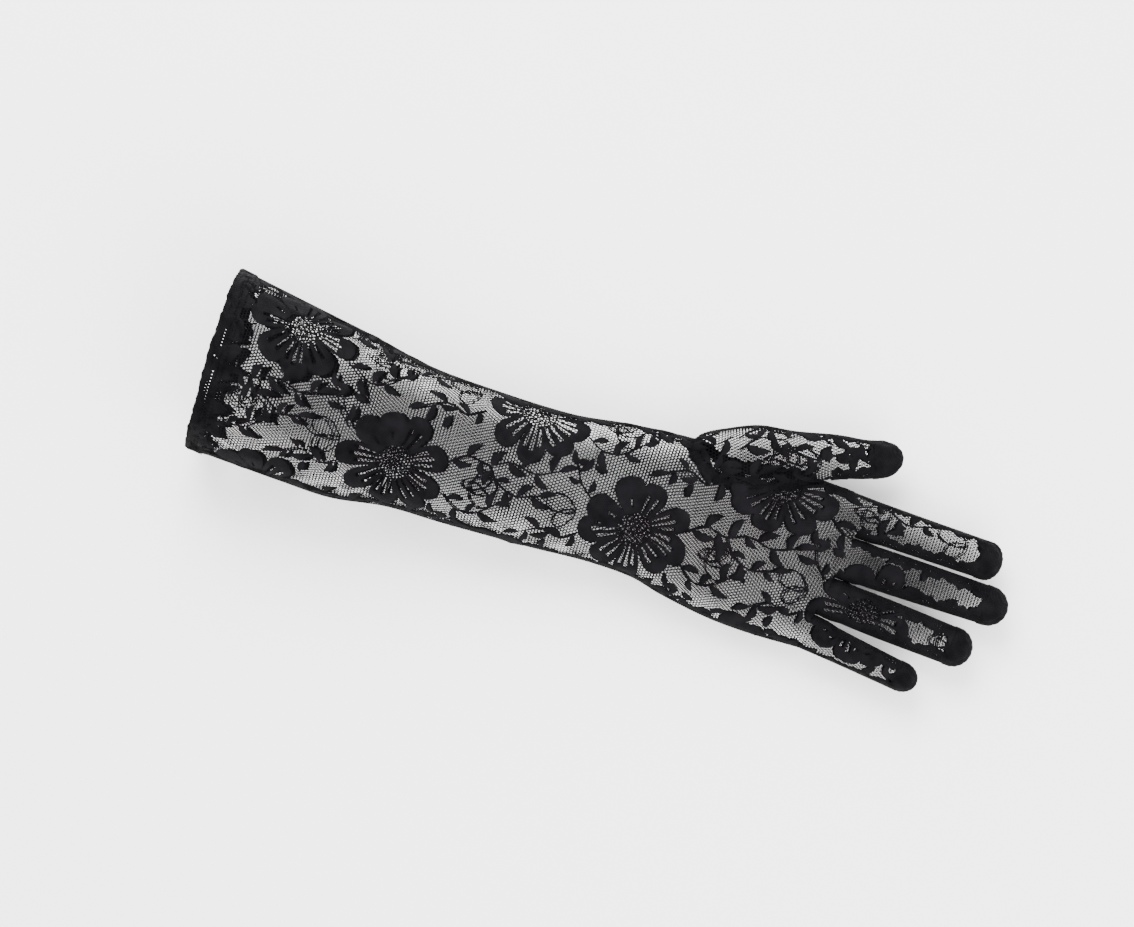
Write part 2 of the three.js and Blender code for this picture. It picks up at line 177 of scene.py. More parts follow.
def arm_ring(at, angles, parting=1.0):
    """(rows, columns, 3) points on the arm and hand, which part into the fingers near the knuckles."""
    a, b, height, middle, slant, fullness = (x[:, None] for x in arm_parts(at))
    c, s = np.cos(angles)[None, :], np.sin(angles)[None, :]
    across = full(c, 2 / fullness) * a
    x = SLEEVE + np.asarray(at)[:, None] + slant * across
    y = middle + across
    z = np.maximum(height + full(s, 2 / fullness) * b, 0)
    part = parting * smooth(np.asarray(at)[:, None], PALM - MORPH, PALM)
    best = np.zeros_like(z)
    for k, (root, half) in enumerate(ROOTS):
        d = np.abs((y - root) / (half + (FINGER_GAP / 2 if 0 < k < 3 else FINGER_GAP / 4)))
        best = np.maximum(best, np.clip(1 - d**ROUND, 0, 1) ** (1 / ROUND))
    between = (y < ROOTS[0][0]) & (y > ROOTS[-1][0])
    best = np.where(between, np.maximum(best, (WEB - 0.4) / (FINGER_DEPTH / 2)), best)
    target = ROOT_HEIGHT + np.where(s >= 0, 1, -1) * best * FINGER_DEPTH / 2
    z = z * (1 - part) + target * part
    return np.stack([x, y, z], -1)


class Limb:
    """A finger or the thumb: where its middle runs and how thick it is."""

    def __init__(self, name, end, bend, tip, start, lean):
        self.name, self.end, self.bend, self.tip, self.start, self.lean = name, end, bend, tip, start, lean
        self.round = end - tip

    def ring(self, at, angles):
        """at past the straight part turns round the tip: (at - round) / tip is the share of a right angle."""
        at = np.asarray(at, float)
        turn = np.clip((at - self.round) / self.tip, 0, 1) * math.pi / 2
        place = np.where(at > self.round, self.round + self.tip * np.sin(turn), at)
        centre = self.middle(place)
        forward = self.middle(place + 0.5) - self.middle(place - 0.5)
        forward[:, 2] = 0
        forward = unit(forward)
        side = np.stack([-forward[:, 1], forward[:, 0], 0 * place], -1)
        side = side + forward * (self.lean * (1 - smooth(place, self.start, self.bend)))[:, None]
        size = np.minimum(place, self.round)
        a, b = self.breadth(size) / 2 * np.cos(turn), self.depth(size) / 2 * np.cos(turn)
        c, s = full(np.cos(angles), 2 / ROUND), full(np.sin(angles), 2 / ROUND)
        p = centre[:, None, :] + side[:, None, :] * (a[:, None] * c[None, :])[..., None]
        p[..., 2] += b[:, None] * s[None, :]
        p[..., 2] = np.maximum(p[..., 2], 0)
        return p


def make_finger(k):
    name, _, length, bend, splay, t1, t2, tip = FINGERS[k]
    y, half = ROOTS[k]
    splay = math.radians(splay)
    along = np.array([math.cos(splay), math.sin(splay), 0])
    root = np.array([KNUCKLES_X + SLANT * (y - KNUCKLES[3]), y, ROOT_HEIGHT])
    sizes = np.array([(0, 2 * half, FINGER_DEPTH), (bend, 2 * half * t1, BEND_DEPTH),
                      (length, 2 * half * t2, TIP_DEPTH)], float)
    limb = Limb(name, length, bend, tip, 0.0, math.tan(math.atan(SLANT) + splay))

    def middle(at):
        at = np.asarray(at, float)
        p = root + at[:, None] * along
        p[:, 2] += LIFT * (at / length) ** 2
        return p

    limb.middle = middle
    limb.breadth = lambda at: follow(sizes, 1, at)
    limb.depth = lambda at: follow(sizes, 2, at)
    return limb


def make_thumb():
    limb = Limb("thumb", THUMB_END, THUMB_BEND, THUMB_TIP, THUMB_ROOT, 0.0)
    a, _, _, middle_y, _, _ = arm_parts(np.array([CROTCH_X - SLEEVE]))
    side_edge = float(middle_y[0] + a[0])

    def middle(at):
        at = np.asarray(at, float)
        return np.stack([CROTCH_X + at, side_edge + follow(THUMB, 1, at), follow(THUMB, 4, at)], -1)

    limb.middle = middle
    limb.breadth = lambda at: follow(THUMB, 2, at)
    limb.depth = lambda at: follow(THUMB, 3, at)
    return limb


fingers = [make_finger(k) for k in range(4)]
thumb = make_thumb()


def in_hand(p):
    """Below 1 inside the hand's own section."""
    at = p[..., 0] - SLEEVE
    for _ in range(2):
        a, b, height, middle, slant, fullness = arm_parts(np.clip(at, -SLEEVE, PALM))
        across = p[..., 1] - middle
        at = p[..., 0] - SLEEVE - slant * across
    return np.abs(across / a) ** fullness + np.abs((p[..., 2] - height) / b) ** fullness


def in_thumb(p):
    """Below 1 inside the thumb and its ball."""
    at = p[..., 0] - CROTCH_X
    flat = at.ravel()
    q = p.reshape(-1, 3)
    for _ in range(3):
        inside = np.clip(flat, THUMB[0, 0], THUMB[-1, 0])
        m = thumb.middle(inside)
        fwd = thumb.middle(inside + 0.5) - thumb.middle(inside - 0.5)
        fwd[:, 2] = 0
        fwd = unit(fwd)
        flat = inside + ((q - m) * fwd).sum(1)
    off = q - m
    across = off[:, 1] * fwd[:, 0] - off[:, 0] * fwd[:, 1]
    f = (np.abs(across / (thumb.breadth(inside) / 2)) ** ROUND
         + np.abs(off[:, 2] / (thumb.depth(inside) / 2)) ** ROUND)
    f = np.where(np.abs(flat - inside) > 0.5, 9.0, f)  # past its ends nothing is inside
    return f.reshape(p.shape[:-1])


# ---- Skins: surfaces that flat patterns are laid on ----
QUARTER = math.pi / 2


class Skin:
    """u runs along the surface and v round it from a middle line, positive towards the thumb, in mm."""

    MIDDLE = 120  # the middle line's column of 241

    def __init__(self, ring, stations, centre, reach, start=0.0, v_middle=0.0, bumps=0.0, measure=None):
        angles = centre + np.linspace(-reach, reach, 2 * self.MIDDLE + 1)
        rows = ring(stations, angles)
        measured = rows if measure is None else measure(stations, angles)
        length = np.concatenate([np.zeros((len(rows), 1)),
                                 np.cumsum(np.linalg.norm(np.diff(measured, axis=1), axis=2), axis=1)], 1)
        length -= length[:, self.MIDDLE][:, None]
        quarter = [np.array([np.interp(centre + way * QUARTER, angles, r) for r in length])
                   for way in (-1, 1)]
        self.front = abs(centre - QUARTER) < 0.1  # its angles run away from the thumb side
        if self.front:
            length, rows, quarter = -length[:, ::-1], rows[:, ::-1], [-quarter[1], -quarter[0]]
        self.u = np.asarray(stations, float) + start
        self.low, self.high = (q + v_middle for q in quarter)
        top = np.abs(length).max()
        self.step = 0.8
        v = np.arange(-top - self.step, top + 2 * self.step, self.step)
        self.p = np.stack([[np.interp(v, length[i], rows[i, :, k]) for k in range(3)]
                           for i in range(len(rows))]).transpose(0, 2, 1)
        self.v0 = v[0] + v_middle
        self.n = normals(self.p) if self.front else -normals(self.p)
        if bumps:
            field = rng.standard_normal(self.p.shape[:2])
            for axis in (0, 1, 0, 1):
                kernel = np.hanning(15)
                field = np.apply_along_axis(lambda r: np.convolve(r, kernel, "same"), axis, field)
            self.p = self.p + self.n * (bumps * field / field.std())[..., None]

    def at(self, u, v, h=0.0):
        """The 3-D points at pattern places u, v, some way out of the surface."""
        i = np.clip(np.interp(u, self.u, np.arange(len(self.u))), 0, len(self.u) - 1.001)
        j = np.clip((np.asarray(v) - self.v0) / self.step, 0, self.p.shape[1] - 1.001)
        i0, j0 = i.astype(int), j.astype(int)
        a, b = (i - i0)[..., None], (j - j0)[..., None]

        def mix(t):
            return ((t[i0, j0] * (1 - b) + t[i0, j0 + 1] * b) * (1 - a)
                    + (t[i0 + 1, j0] * (1 - b) + t[i0 + 1, j0 + 1] * b) * a)

        over = np.asarray(u) - np.clip(u, self.u[0], self.u[-1])  # past an end it goes straight on
        step = (self.p[i0 + 1, j0] - self.p[i0, j0]) / (self.u[i0 + 1] - self.u[i0])[..., None]
        return mix(self.p) + mix(self.n) * np.asarray(h)[..., None] + step * over[..., None]


# ---- Flat patterns: points, heights and quads ----
class Flat:
    def __init__(self):
        self.p, self.h, self.q, self.count = [], [], [], 0

    def grid(self, points, heights, keep=None):
        """A grid of flat points, (rows, columns, 2), as quads."""
        rows, columns = points.shape[:2]
        quads = self.count + grid_quads(rows, columns)
        self.q.append(quads[keep] if keep is not None else quads.reshape(-1, 4))
        self.p.append(points.reshape(-1, 2))
        self.h.append(np.broadcast_to(heights, points.shape[:2]).reshape(-1))
        self.count += rows * columns

    def ribbon(self, line, width, height, base=0.0, closed=False):
        """A crowned cord along a flat line."""
        line = np.asarray(line, float)
        if closed:
            before, after = np.roll(line, 1, 0), np.roll(line, -1, 0)
            tangent = after - before
            line, tangent = np.vstack([line, line[:1]]), np.vstack([tangent, tangent[:1]])
        else:
            tangent = np.gradient(line, axis=0)
        tangent = unit(tangent)
        across = np.stack([-tangent[:, 1], tangent[:, 0]], -1)
        width = np.broadcast_to(width, len(line))
        offsets = np.array([-0.5, 0.0, 0.5])
        points = line[:, None] + across[:, None] * (width[:, None] * offsets)[..., None]
        self.grid(points, base + np.array([0.0, height, 0.0])[None, :])

    def merged(self):
        return np.vstack(self.p), np.concatenate(self.h), np.vstack(self.q)


def petal(flat, centre, turn, near, far, width, slits, bend=0.0):
    """A rounded club petal with open slits in its inner half and a raised edge."""
    t = np.linspace(0, 1, 25)
    s = np.linspace(-1, 1, 19)
    grow = 0.56 + 0.44 * np.sin(np.clip(t / 0.7, 0, 1) * math.pi / 2) ** 1.5
    close = np.sqrt(np.clip(1 - (np.clip((t - 0.66) / 0.34, 0, 1)) ** 2.2, 0, 1))
    half = width / 2 * grow * close + 0.12
    r = near + (far - near) * t
    notch = 1.3 * np.exp(-((s / 0.2) ** 2))[None, :] * smooth(t, 0.85, 1)[:, None]
    x = r[:, None] - notch
    y = half[:, None] * s[None, :] + bend * (t**2)[:, None]
    ribs = 0.035 * np.cos(s * 22)[None, :]
    h = 0.16 + 0.2 * (1 - s[None, :] ** 2) + 0.04 * np.cos(t[:, None] * 70) + ribs
    points = placed(centre, turn, x, y)
    keep = np.ones((24, 18), bool)
    for first, last, start, stop in slits:
        keep[start:stop, first:last] = False
    flat.grid(points, h, keep)
    rim = np.vstack([points[1:-1, 0], points[-1, 2:17:2], points[1:-1, -1][::-1]])
    flat.ribbon(rim, 0.6, 0.22, 0.18)


def leaf(flat, root, turn, length, width, bow=0.05):
    """A slender leaf, bent sideways by bow of its length."""
    t = np.linspace(0, 1, 11)
    s = np.linspace(-1, 1, 5)
    half = width / 2 * np.sin(np.clip(t**0.9, 0.02, 0.985) * math.pi) ** 0.8
    y = half[:, None] * s + bow * length * np.sin(t * math.pi)[:, None]
    flat.grid(placed(root, turn, (length * t)[:, None], y), 0.14 + 0.2 * (1 - s[None, :] ** 2))


def curve(points, count):
    """A smooth flat line through some points (Catmull-Rom)."""
    p = np.asarray(points, float)
    p = np.vstack([2 * p[0] - p[1], p, 2 * p[-1] - p[-2]])
    t = np.linspace(0, len(p) - 3 - 1e-6, count)
    k, f = t.astype(int), (t % 1)[:, None]
    a, b, c, d = p[k], p[k + 1], p[k + 2], p[k + 3]
    return 0.5 * (2 * b + (c - a) * f + (2 * a - 5 * b + 4 * c - d) * f**2 + (3 * b - a - 3 * c + d) * f**3)


def sprig(flat, points, leaves, size=7.0, first=1):
    """A thin stem with leaves on both sides and one at its end. first: the side of its second leaf."""
    line = curve(points, 8 * len(points))
    flat.ribbon(line, 0.75, 0.3, 0.08)
    tangent = np.gradient(line, axis=0)
    for k in range(leaves):
        share = (k + 0.6) / leaves
        i = int(share * (len(line) - 1))
        heading = math.atan2(tangent[i, 1], tangent[i, 0])
        way = first * (1 if k % 2 else -1)
        grow = size * (0.95 + 0.65 * rng.random())
        leaf(flat, line[i], heading + way * (0.6 + 0.4 * rng.random()), grow, 0.27 * grow + 0.9, 0.14 * way)
    heading = math.atan2(tangent[-1, 1], tangent[-1, 0])
    leaf(flat, line[-1], heading, size * 1.35, 0.33 * size + 0.9, 0.1 * first)


OPEN = [(2, 5, 1, 14), (7, 10, 0, 16), (12, 15, 1, 13)]  # columns and rows of the petal's grid left open
TWO_SLITS = [(4, 7, 1, 15), (11, 14, 1, 14)]
NEARLY_SOLID = [(8, 10, 4, 10)]


def flower(flat, centre, turn, radius=26.5):
    """Nine petals round a disc of small open loops."""
    count = 9
    for k in range(count):
        angle = turn + 2 * math.pi * k / count + 0.06 * rng.standard_normal()
        near, far = radius * 0.3, radius * (0.88 + 0.17 * rng.random())
        slits = NEARLY_SOLID if k in (2, 3) else TWO_SLITS if k % 2 else OPEN
        width, bend = radius * (0.41 + 0.1 * rng.random()), 1.6 * rng.standard_normal()
        petal(flat, centre, angle, near, far, width, slits, bend)
    for ring, (r, n, size) in enumerate([(0, 1, 1.3), (2.9, 6, 1.2), (5.6, 11, 1.2), (8.0, 15, 1.05)]):
        for k in range(n):
            a = 2 * math.pi * (k + 0.5 * (ring % 2)) / n + turn
            c = (centre[0] + r * math.cos(a), centre[1] + r * math.sin(a))
            t = np.linspace(0, 2 * math.pi, 9)[:-1]
            loop = np.stack([c[0] + size * np.cos(t), c[1] + size * np.sin(t)], -1)
            flat.ribbon(loop, 0.58, 0.3, 0.12, closed=True)


def outline(flat, root, turn, length, breadth):
    """A sketched petal: a rounded loop of thin cord from its root."""
    t = np.linspace(0, 2 * math.pi, 41)[:-1]
    x = length / 2 * (1 - np.cos(t))
    wavy = 1 + 0.08 * np.sin(3 * t) + 0.05 * np.sin(8 * t)
    y = breadth / 2 * np.sin(t) * (0.55 + 0.45 * (x / length)) * wavy
    flat.ribbon(placed(root, turn, x, y), 0.62, 0.28, 0.1, closed=True)


def edge_leaves(flat, v_range):
    """Leaves crowd along the hem, at its inner edge and along both side seams."""
    for v in np.arange(v_range[0], v_range[1], 3.6):
        u = 1.2 + 3.5 * rng.random()
        leaf(flat, (u, v), 1.2 + 0.8 * rng.random(), 5 + 5 * rng.random(), 3.6, 0.2)
    for v in np.arange(v_range[0], v_range[1], 4.2):
        u = HEM - 3 + 3 * rng.random()
        leaf(flat, (u, v), 2.6 * rng.random() - 1.3, 6 + 5 * rng.random(), 3.2)
    for edge, way, reach in ((arm_front.low, 1, 7.0), (arm_front.high, -1, 5.0)):
        for u in np.arange(4, KNUCKLES_X - 6, 3.4):
            v = np.interp(u, arm_front.u, edge) + way * (1.5 + reach * rng.random() ** 1.6)
            leaf(flat, (u, v), way * (0.9 * rng.random() - 0.2), 7 + 5 * rng.random(), 3.4, 0.12 * way)


FLOWER_REPEAT, LEAF_REPEAT = (120, 46), (90, 23)  # along, and from one row to the next


def lace_design(first, u_range, v_range, flowers=True):
    """Half-drop rows of flowers, or of leaves alone, with sprigs and sketched petals between them."""
    flat = Flat()
    repeat, drop = FLOWER_REPEAT if flowers else LEAF_REPEAT
    rows = np.arange(math.floor((v_range[0] - 50) / drop), math.ceil((v_range[1] + 50) / drop) + 1)
    for row in rows:
        for k in range(-1, 5):
            u = first[0] + repeat * k + (repeat / 2 if row % 2 else 0)
            v = first[1] + drop * row
            if not (u_range[0] - 45 < u < u_range[1] + 75 and v_range[0] - 50 < v < v_range[1] + 50):
                continue
            c = np.array([u, v])
            if flowers:
                flower(flat, c, 0.3 + 0.5 * rng.random())
            else:
                sprig(flat, c + [(-22, -9), (-12, -3), (0, -6), (12, -2), (24, -6)], 7, 7.2)
                outline(flat, c + [-8, 2], 0.4, 15, 11)
            sprig(flat, c + [(24, 8), (33, 14), (44, 13), (54, 17), (66, 15), (77, 19)], 8, 7.4)
            sprig(flat, c + [(26, -7), (35, -13), (44, -12), (52, -5)], 5, 6.8, -1)
            sprig(flat, c + [(44, 13), (50, 6), (60, 2), (71, 5)], 5, 6.4)
            sprig(flat, c + [(-25, -8), (-34, -13), (-43, -10), (-53, -15)], 5, 6.6, -1)
            sprig(flat, c + [(-24, 9), (-31, 16), (-35, 24)], 3, 6.2)
            for angle, length, breadth in ((0.15, 17, 11), (-0.75, 15, 10), (1.0, 12, 9)):
                outline(flat, c + [33 + 6 * abs(angle), 1 - 2 * angle], angle, length, breadth)
            for angle, length, breadth in ((2.9, 15, 11), (3.9, 12, 9)):
                outline(flat, c + [-30, 2], angle, length, breadth)
            for angle, r in ((0.9, 30), (2.3, 31), (4.2, 30), (5.6, 31)):
                leaf(flat, c + [r * math.cos(angle), r * math.sin(angle)], angle + 0.5, 7.0, 3.4)
    if flowers:
        edge_leaves(flat, v_range)
    return flat.merged()


CELL_LONG, CELL_WIDE, CELL_END = 2.05, 1.6, 0.46  # the net's cells
STRAND = 0.2  # half the width of a strand


def net_cells(u_range, v_range):
    """Centres of the net's cells, with their pattern's phase fixed to u = v = 0."""
    du, dv = CELL_LONG / 2 + CELL_END, CELL_WIDE
    i = np.arange(math.floor(u_range[0] / du), math.ceil(u_range[1] / du) + 1)
    j = np.arange(math.floor(v_range[0] / dv) - 1, math.ceil(v_range[1] / dv) + 2)
    i, j = (x.ravel() for x in np.meshgrid(i, j, indexing="ij"))
    return np.stack([i * du, (j + 0.5 * (i % 2)) * dv], -1)


def lay_net(keep, u_range, v_range, shrink=1.0):
    """The flat net, where keep says so of the cells' centres. A small shrink makes its holes small."""
    centres = net_cells(u_range, v_range)
    centres = centres[keep(centres)]
    f, e, w = CELL_LONG / 2, CELL_END, CELL_WIDE / 2
    corners = np.array([(f, 0), (e, w), (-e, w), (-f, 0), (-e, -w), (e, -w)])
    outer = centres[:, None] + corners
    key = np.round(outer.reshape(-1, 2) * 200).astype(np.int64)
    _, index, inverse = np.unique(key[:, 0] * 1_000_003 + key[:, 1], return_index=True, return_inverse=True)
    shared = outer.reshape(-1, 2)[index]
    opening = np.array([f - STRAND * 1.25, w - STRAND]) / np.array([f, w]) * shrink
    inner = centres[:, None] + corners * opening
    u, v = shared.T
    wobble = 0.07 * np.stack([np.sin(v * 2.1 + u * 0.7), np.cos(u * 1.9)], -1)
    points = np.vstack([shared + wobble, inner.reshape(-1, 2)])
    heights = np.concatenate([np.full(len(shared), 0.2), np.full(len(inner) * 6, -0.08)])
    o = inverse.reshape(-1, 6)
    n = len(shared) + np.arange(len(centres) * 6).reshape(-1, 6)
    quads = np.stack([o, np.roll(o, -1, 1), np.roll(n, -1, 1), n], -1).reshape(-1, 4)
    return points, heights, quads


TILE = 500  # how far apart two skins' patterns lie in the UV map


class Cloth:
    """Gathers laid patterns into one mesh."""

    def __init__(self, name):
        self.name = name
        self.p, self.q, self.uv, self.count = [], [], [], 0

    def add(self, points, quads, uv):
        if not len(quads):
            return
        used, inverse = np.unique(quads.ravel(), return_inverse=True)
        self.p.append(points[used])
        self.q.append(inverse.reshape(quads.shape) + self.count)
        self.uv.append(uv[used])
        self.count += len(used)

    def lay(self, skin, pattern, u_range, inside=None, raise_by=0.0, tile=0):
        """Puts a flat pattern on a skin: the quads whose middles are in u_range and that inside lets be."""
        flat, heights, quads = pattern
        middle = flat[quads, 0].mean(1)
        quads = quads[(middle >= u_range[0]) & (middle < u_range[1])]
        if inside is not None:
            good = inside(flat)
            quads = quads[good[quads].all(1)]
        if not skin.front:
            quads = quads[:, ::-1]
        self.add(skin.at(flat[:, 0], flat[:, 1], heights + raise_by), quads, flat + [TILE * tile, 0])

    def done(self, material, slot):
        p, q, uv = np.vstack(self.p), np.vstack(self.q), np.vstack(self.uv)
        mesh = bpy.data.meshes.new(self.name)
        mesh.vertices.add(len(p))
        mesh.vertices.foreach_set("co", ((p + SHIFT) * MM).astype(np.float32).ravel())
        mesh.loops.add(q.size)
        mesh.loops.foreach_set("vertex_index", q.astype(np.int32).ravel())
        mesh.polygons.add(len(q))
        mesh.polygons.foreach_set("loop_start", np.arange(0, q.size, 4, dtype=np.int32))
        mesh.polygons.foreach_set("loop_total", np.full(len(q), 4, np.int32))
        mesh.polygons.foreach_set("use_smooth", np.ones(len(q), bool))
        layer = mesh.uv_layers.new(name="OFBake")
        low, size = uv.min(0), max(np.ptp(uv, axis=0).max(), 1e-6)
        layer.data.foreach_set("uv", ((uv[q.ravel()] - low) / size).astype(np.float32).ravel())
        mesh.update(calc_edges=True)
        mesh.materials.append(material)
        piece = bpy.data.objects.new(self.name, mesh)
        bpy.context.scene.collection.objects.link(piece)
        return piece


# ---- Materials ----
def thread(name, dark, light, roughness, sheen, rib, depth):
    """Matte black thread: uneven dye, uneven roughness, and the twist of the yarn in the bump."""
    material = bpy.data.materials.new(name)
    material.use_nodes = True
    nodes, links = material.node_tree.nodes, material.node_tree.links
    shader = nodes["Principled BSDF"]
    shader.inputs["Sheen Weight"].default_value = sheen
    shader.inputs["Sheen Roughness"].default_value = 0.45
    shader.inputs["Specular IOR Level"].default_value = 0.018
    place = nodes.new("ShaderNodeTexCoord").outputs["Object"]

    def noise(scale, detail):
        node = nodes.new("ShaderNodeTexNoise")
        node.inputs["Scale"].default_value = scale
        node.inputs["Detail"].default_value = detail
        links.new(place, node.inputs["Vector"])
        return node.outputs["Fac"]

    ramp = nodes.new("ShaderNodeValToRGB")
    ramp.color_ramp.elements[0].position, ramp.color_ramp.elements[1].position = 0.32, 0.72
    ramp.color_ramp.elements[0].color = (*dark, 1)
    ramp.color_ramp.elements[1].color = (*light, 1)
    links.new(noise(140, 6), ramp.inputs["Fac"])
    links.new(ramp.outputs["Color"], shader.inputs["Base Color"])
    spread = nodes.new("ShaderNodeMapRange")
    spread.inputs["To Min"].default_value = roughness - 0.1
    spread.inputs["To Max"].default_value = roughness + 0.12
    links.new(noise(900, 3), spread.inputs["Value"])
    links.new(spread.outputs["Result"], shader.inputs["Roughness"])
    wave = nodes.new("ShaderNodeTexWave")
    wave.bands_direction = "DIAGONAL"
    wave.inputs["Scale"].default_value = rib
    wave.inputs["Distortion"].default_value = 2.5
    wave.inputs["Detail Scale"].default_value = 3
    links.new(place, wave.inputs["Vector"])
    fuzz = nodes.new("ShaderNodeMath")
    fuzz.operation = "MULTIPLY_ADD"
    fuzz.inputs[1].default_value = 0.6
    links.new(noise(2600, 4), fuzz.inputs[0])
    links.new(wave.outputs["Fac"], fuzz.inputs[2])
    bump = nodes.new("ShaderNodeBump")
    bump.inputs["Strength"].default_value = depth
    bump.inputs["Distance"].default_value = 0.0003
    links.new(fuzz.outputs[0], bump.inputs["Height"])
    links.new(bump.outputs["Normal"], shader.inputs["Normal"])
    return material


LACE = thread("lace_thread", (0.0022, 0.002, 0.0026), (0.006, 0.0055, 0.0066), 0.72, 0.008, 560, 0.8)
DENSE = thread("fourchette_thread", (0.002, 0.0018, 0.0024), (0.0055, 0.005, 0.006), 0.76, 0.008, 700, 0.8)
STITCH = thread("seam_thread", (0.0018, 0.0018, 0.0022), (0.005, 0.0047, 0.0056), 0.66, 0.012, 480, 1.0)


# ---- Skins of the glove ----
def even(low, high, step):
    """Evenly spaced places, about a step apart."""
    return np.linspace(low, high, max(2, int(round((high - low) / step)) + 1))


def plain(at, angles):
    """The arm and hand without the parting into fingers, which its widths are measured on."""
    return arm_ring(at, angles, 0.0)


arm_at = even(-SLEEVE, PALM, 1.0)
arm_front = Skin(arm_ring, arm_at, QUARTER, QUARTER + 0.3, SLEEVE, 0.0, 0.34, plain)
arm_back = Skin(arm_ring, arm_at, 3 * QUARTER, QUARTER + 0.3, SLEEVE, 0.0, 0.2, plain)
arm_sides = [Skin(arm_ring, arm_at, c, 0.9, SLEEVE) for c in (0.0, math.pi)]


def limb_skins(limb, start, front_v, back_v, first):
    """The palm side, the back and the two sides of a finger or thumb."""
    at = even(first, limb.end - 0.3, 0.8)
    return [Skin(limb.ring, at, QUARTER, QUARTER + 0.3, start, front_v, 0.1),
            Skin(limb.ring, at, 3 * QUARTER, QUARTER + 0.3, start, back_v, 0.06),
            Skin(limb.ring, at, 0.0, 1.5, start), Skin(limb.ring, at, math.pi, 1.5, start)]


def window(skin, low_margin, high_margin, more=None):
    """True for pattern places between the two edges of a panel."""
    def inside(flat):
        low = np.interp(flat[:, 0], skin.u, skin.low) + low_margin
        high = np.interp(flat[:, 0], skin.u, skin.high) - high_margin
        good = (flat[:, 1] > low) & (flat[:, 1] < high)
        if more is not None:
            good &= more(skin.at(flat[:, 0], flat[:, 1]))
        return good
    return inside


PATTERN_V = (-85, 110)  # reaches past both edges of the widest panel
FLOWER = (97.5, -14.0)  # one flower's middle, which the others follow
THUMB_V = 58.0  # the place of the pattern on the thumb's middle line
EVERYWHERE = (-1e3, 1e4)
# Both panels are cut from the same place of the repeat, so the flowers lie over each other.
arm_lace = lace_design(FLOWER, (0, 420), PATTERN_V)
thumb_lace = lace_design(FLOWER, (200, 350), (20, 100), False)


def panel(cloth, skin, pattern, u0, u1, low_margin, high_margin, more=None, tile=0):
    """Net and motifs on a skin from u0 to u1. Returns the net's area, its width and its length."""
    inside = window(skin, low_margin, high_margin, more)
    v_range = (skin.low.min() - 2, skin.high.max() + 2)
    net = lay_net(lambda c: inside(c) & (c[:, 0] >= u0) & (c[:, 0] < u1), (u0, u1), v_range)
    cloth.lay(skin, net, (u0 - 5, u1 + 5), None, 0.0, 2 * tile)
    cloth.lay(skin, pattern, (u0, u1), inside, 0.12, 2 * tile + 1)
    u = even(u0, u1, 1.0)
    wide = np.interp(u, skin.u, skin.high - skin.low).max() - low_margin - high_margin
    return len(net[2]) / 6 * CELL_WIDE * (CELL_LONG / 2 + CELL_END), float(wide), u1 - u0


def finish_sheet(cloth, material, slot, nodes, body, blend=None):
    """Makes the piece, hides the CAD parts named in nodes, and fixes it in place or parents it to its body.
    """
    piece = cloth.done(material, slot)
    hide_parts(*nodes)
    if blend:
        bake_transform(piece)
    else:
        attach(piece, body)
    return piece


# ---- Sleeve and hand ----
SPLIT = SLEEVE + 17  # from here on the cloth moves with the hand alone
WRIST_BLEND = ((SLEEVE - 16, WRIST_MIDDLE, 20), (SLEEVE + 16, WRIST_MIDDLE, 20))
ACROSS_WRIST = ("forearm", "hand")
EDGE = SEAM - 1.0  # a panel ends under its side seam


def clear_of_thumb(p):
    return in_thumb(p) > 0.93


for side, skin in (("front", arm_front), ("back", arm_back)):
    cloth = Cloth(f"sleeve_{side}_lace")
    part = panel(cloth, skin, arm_lace, HEM - 1.5, SPLIT, EDGE, EDGE)
    finish_sheet(cloth, LACE, "floral_lace", [f"sleeve_{side}_panel"], ACROSS_WRIST, WRIST_BLEND)
    name, node = ("palm_lace", "palm_panel") if side == "front" else ("hand_back_lace", "hand_back_panel")
    cloth = Cloth(name)
    part = panel(cloth, skin, arm_lace, SPLIT, KNUCKLES_X, EDGE, EDGE, clear_of_thumb)
    finish_sheet(cloth, LACE, "floral_lace", [node], "hand")


def overlock(u0, u1, v=0.0, half=SEAM, height=0.75, pitch=1.15, step=0.42):
    """A crowned band of slanting thread loops along v, a number or a function of u, as a flat pattern."""
    u = even(u0, u1, step)
    s = np.linspace(-1, 1, 9)
    flat = Flat()
    ragged = 1 + 0.10 * np.sin(u * 1.7) + 0.07 * np.sin(u * 4.1 + 1)
    line = np.broadcast_to(v(u) if callable(v) else v, u.shape)
    points = np.stack([u[:, None] + 0 * s, line[:, None] + half * ragged[:, None] * s[None, :]], -1)
    loops = np.abs(np.sin(math.pi * (u[:, None] / pitch + 0.45 * s[None, :])))
    crown = np.sqrt(np.clip(1 - s**2, 0, 1))[None, :]
    rise = 0.35 + 0.4 * crown + 0.42 * loops * (0.35 + 0.65 * crown)
    flat.grid(points, height * rise - 0.25 * (1 - crown))
    return flat.merged()


def side_seam(name, skin, u0, u1, body="hand", blend=None):
    cloth = Cloth(f"{name}_stitching")
    cloth.lay(skin, overlock(u0, u1), EVERYWHERE)
    finish_sheet(cloth, STITCH, "edge_seam", [f"{name}_seam"], body, blend)


# Where the ball's rings pass through the hand's surface, over the palm side and under the back
ball_rows = even(THUMB[0, 0], 0, 0.5)
ball = thumb.ring(ball_rows, np.linspace(0, 2 * math.pi, 721))
ball_inside = in_hand(ball) < 1
rows_cut = [i for i in range(len(ball_rows)) if not ball_inside[i, 0] and ball_inside[i, 360]]
over = [ball[i, np.argmax(ball_inside[i])] for i in rows_cut]
under = [ball[i, 720 - np.argmax(ball_inside[i, ::-1])] for i in rows_cut]
hole_line = np.array(over + under[::-1])
hole_start, hole_end = hole_line[:, 0].min(), hole_line[:, 0].max()

